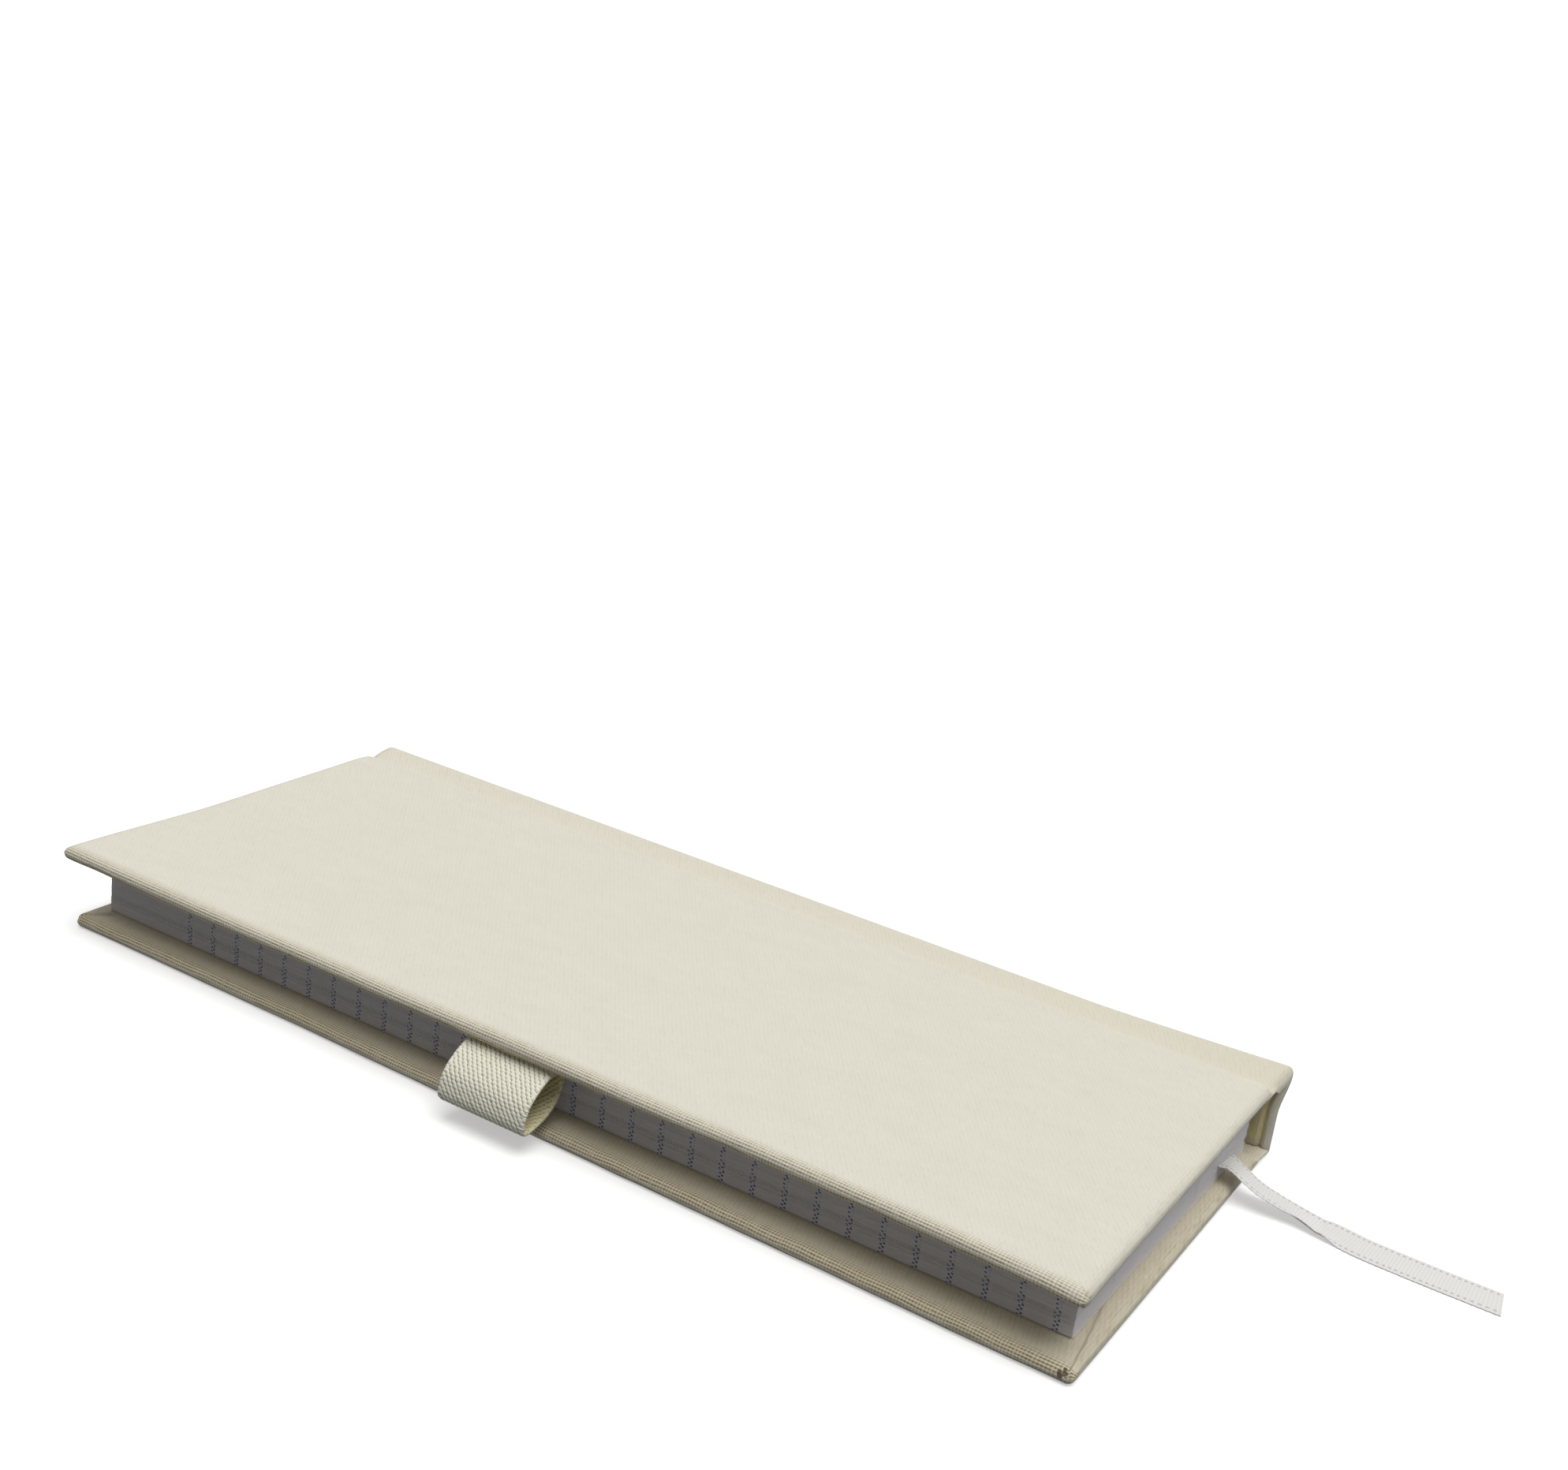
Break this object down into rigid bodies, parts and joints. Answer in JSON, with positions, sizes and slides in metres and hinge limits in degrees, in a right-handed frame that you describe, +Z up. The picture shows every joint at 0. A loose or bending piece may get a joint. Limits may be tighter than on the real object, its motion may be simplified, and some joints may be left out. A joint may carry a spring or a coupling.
{
  "type": "tally book",
  "caption": "Slim case-bound ruled pocket book in pale cloth, with a marker ribbon and an elastic pen loop; the covers and leaves open.",
  "frame": {"origin": "middle of the front cover's outside face, which is the face the closed book lies on", "axes": "+Z up through the closed book, +Y towards the head of the pages, +X towards the spine, so the fore-edge and the pen loop are at -X"},
  "size_m": [0.1018, 0.2712, 0.0174],
  "materials": {
    "cover_cloth": "matt woven cotton book cloth, ivory",
    "greyboard": "raw greyboard",
    "endpaper": "uncoated white paper",
    "ledger_paper": "smooth white ledger paper with blue and dark red rules",
    "satin_ribbon": "white satin with looped edges",
    "sewing_thread": "bleached linen thread",
    "mull": "open-weave starched cotton",
    "kraft_paper": "brown kraft paper",
    "elastic": "matt knitted elastic, off-white"
  },
  "bodies": {
    "front_cover": {"front_cover_cloth": "cover_cloth", "front_board": "greyboard", "front_pastedown": "endpaper", "front_flyleaf": "endpaper", "section_1": "ledger_paper", "section_2_left": "ledger_paper", "ribbon_marker": "satin_ribbon", "ribbon_tail": "satin_ribbon", "fold_stitch_head": "sewing_thread", "fold_stitch_tail": "sewing_thread"},
    "spine": {"spine_cloth": "cover_cloth", "spine_board": "greyboard", "mull_lining": "mull", "kraft_lining": "kraft_paper", "ribbon_anchor": "satin_ribbon", "link_stitch_1": "sewing_thread", "link_stitch_2": "sewing_thread", "link_stitch_3": "sewing_thread", "link_stitch_4": "sewing_thread"},
    "leaves_1": {"turning_leaves_1": "ledger_paper"},
    "leaves_2": {"turning_leaves_2": "ledger_paper"},
    "leaves_3": {"section_3": "ledger_paper"},
    "leaves_4": {"section_4": "ledger_paper"},
    "back_cover": {"section_5": "ledger_paper", "section_6": "ledger_paper", "back_flyleaf": "endpaper", "back_pastedown": "endpaper", "back_board": "greyboard", "back_cover_cloth": "cover_cloth", "pen_loop": "elastic"}
  },
  "joints": [
    {"name": "front_joint", "type": "hinge", "parent": "front_cover", "child": "spine", "pos_m": [0.0389, 0, 0.0014], "axis": [0, 1, 0], "range_deg": [0, 90]},
    {"name": "back_joint", "type": "hinge", "parent": "spine", "child": "back_cover", "pos_m": [0.0389, 0, 0.016], "axis": [0, 1, 0], "range_deg": [0, 90]},
    {"name": "leaves_1_turn", "type": "hinge", "parent": "spine", "child": "leaves_1", "pos_m": [0.0386, 0, 0.00658], "axis": [0, 1, 0], "range_deg": [0, 40.5]},
    {"name": "leaves_2_turn", "type": "hinge", "parent": "back_cover", "child": "leaves_2", "pos_m": [0.0386, 0, 0.00658], "axis": [0, 1, 0], "range_deg": [-30.6, 0]},
    {"name": "leaves_3_turn", "type": "hinge", "parent": "back_cover", "child": "leaves_3", "pos_m": [0.0386, 0, 0.00704], "axis": [0, 1, 0], "range_deg": [-14.4, 0]},
    {"name": "leaves_4_turn", "type": "hinge", "parent": "back_cover", "child": "leaves_4", "pos_m": [0.0386, 0, 0.00888], "axis": [0, 1, 0], "range_deg": [-6.3, 0]}
  ],
  "couplings": [
    {"joint": "leaves_1_turn", "follows": "back_joint", "ratio": 0.45},
    {"joint": "leaves_2_turn", "follows": "back_joint", "ratio": -0.34},
    {"joint": "leaves_3_turn", "follows": "back_joint", "ratio": -0.16},
    {"joint": "leaves_4_turn", "follows": "back_joint", "ratio": -0.07}
  ]
}
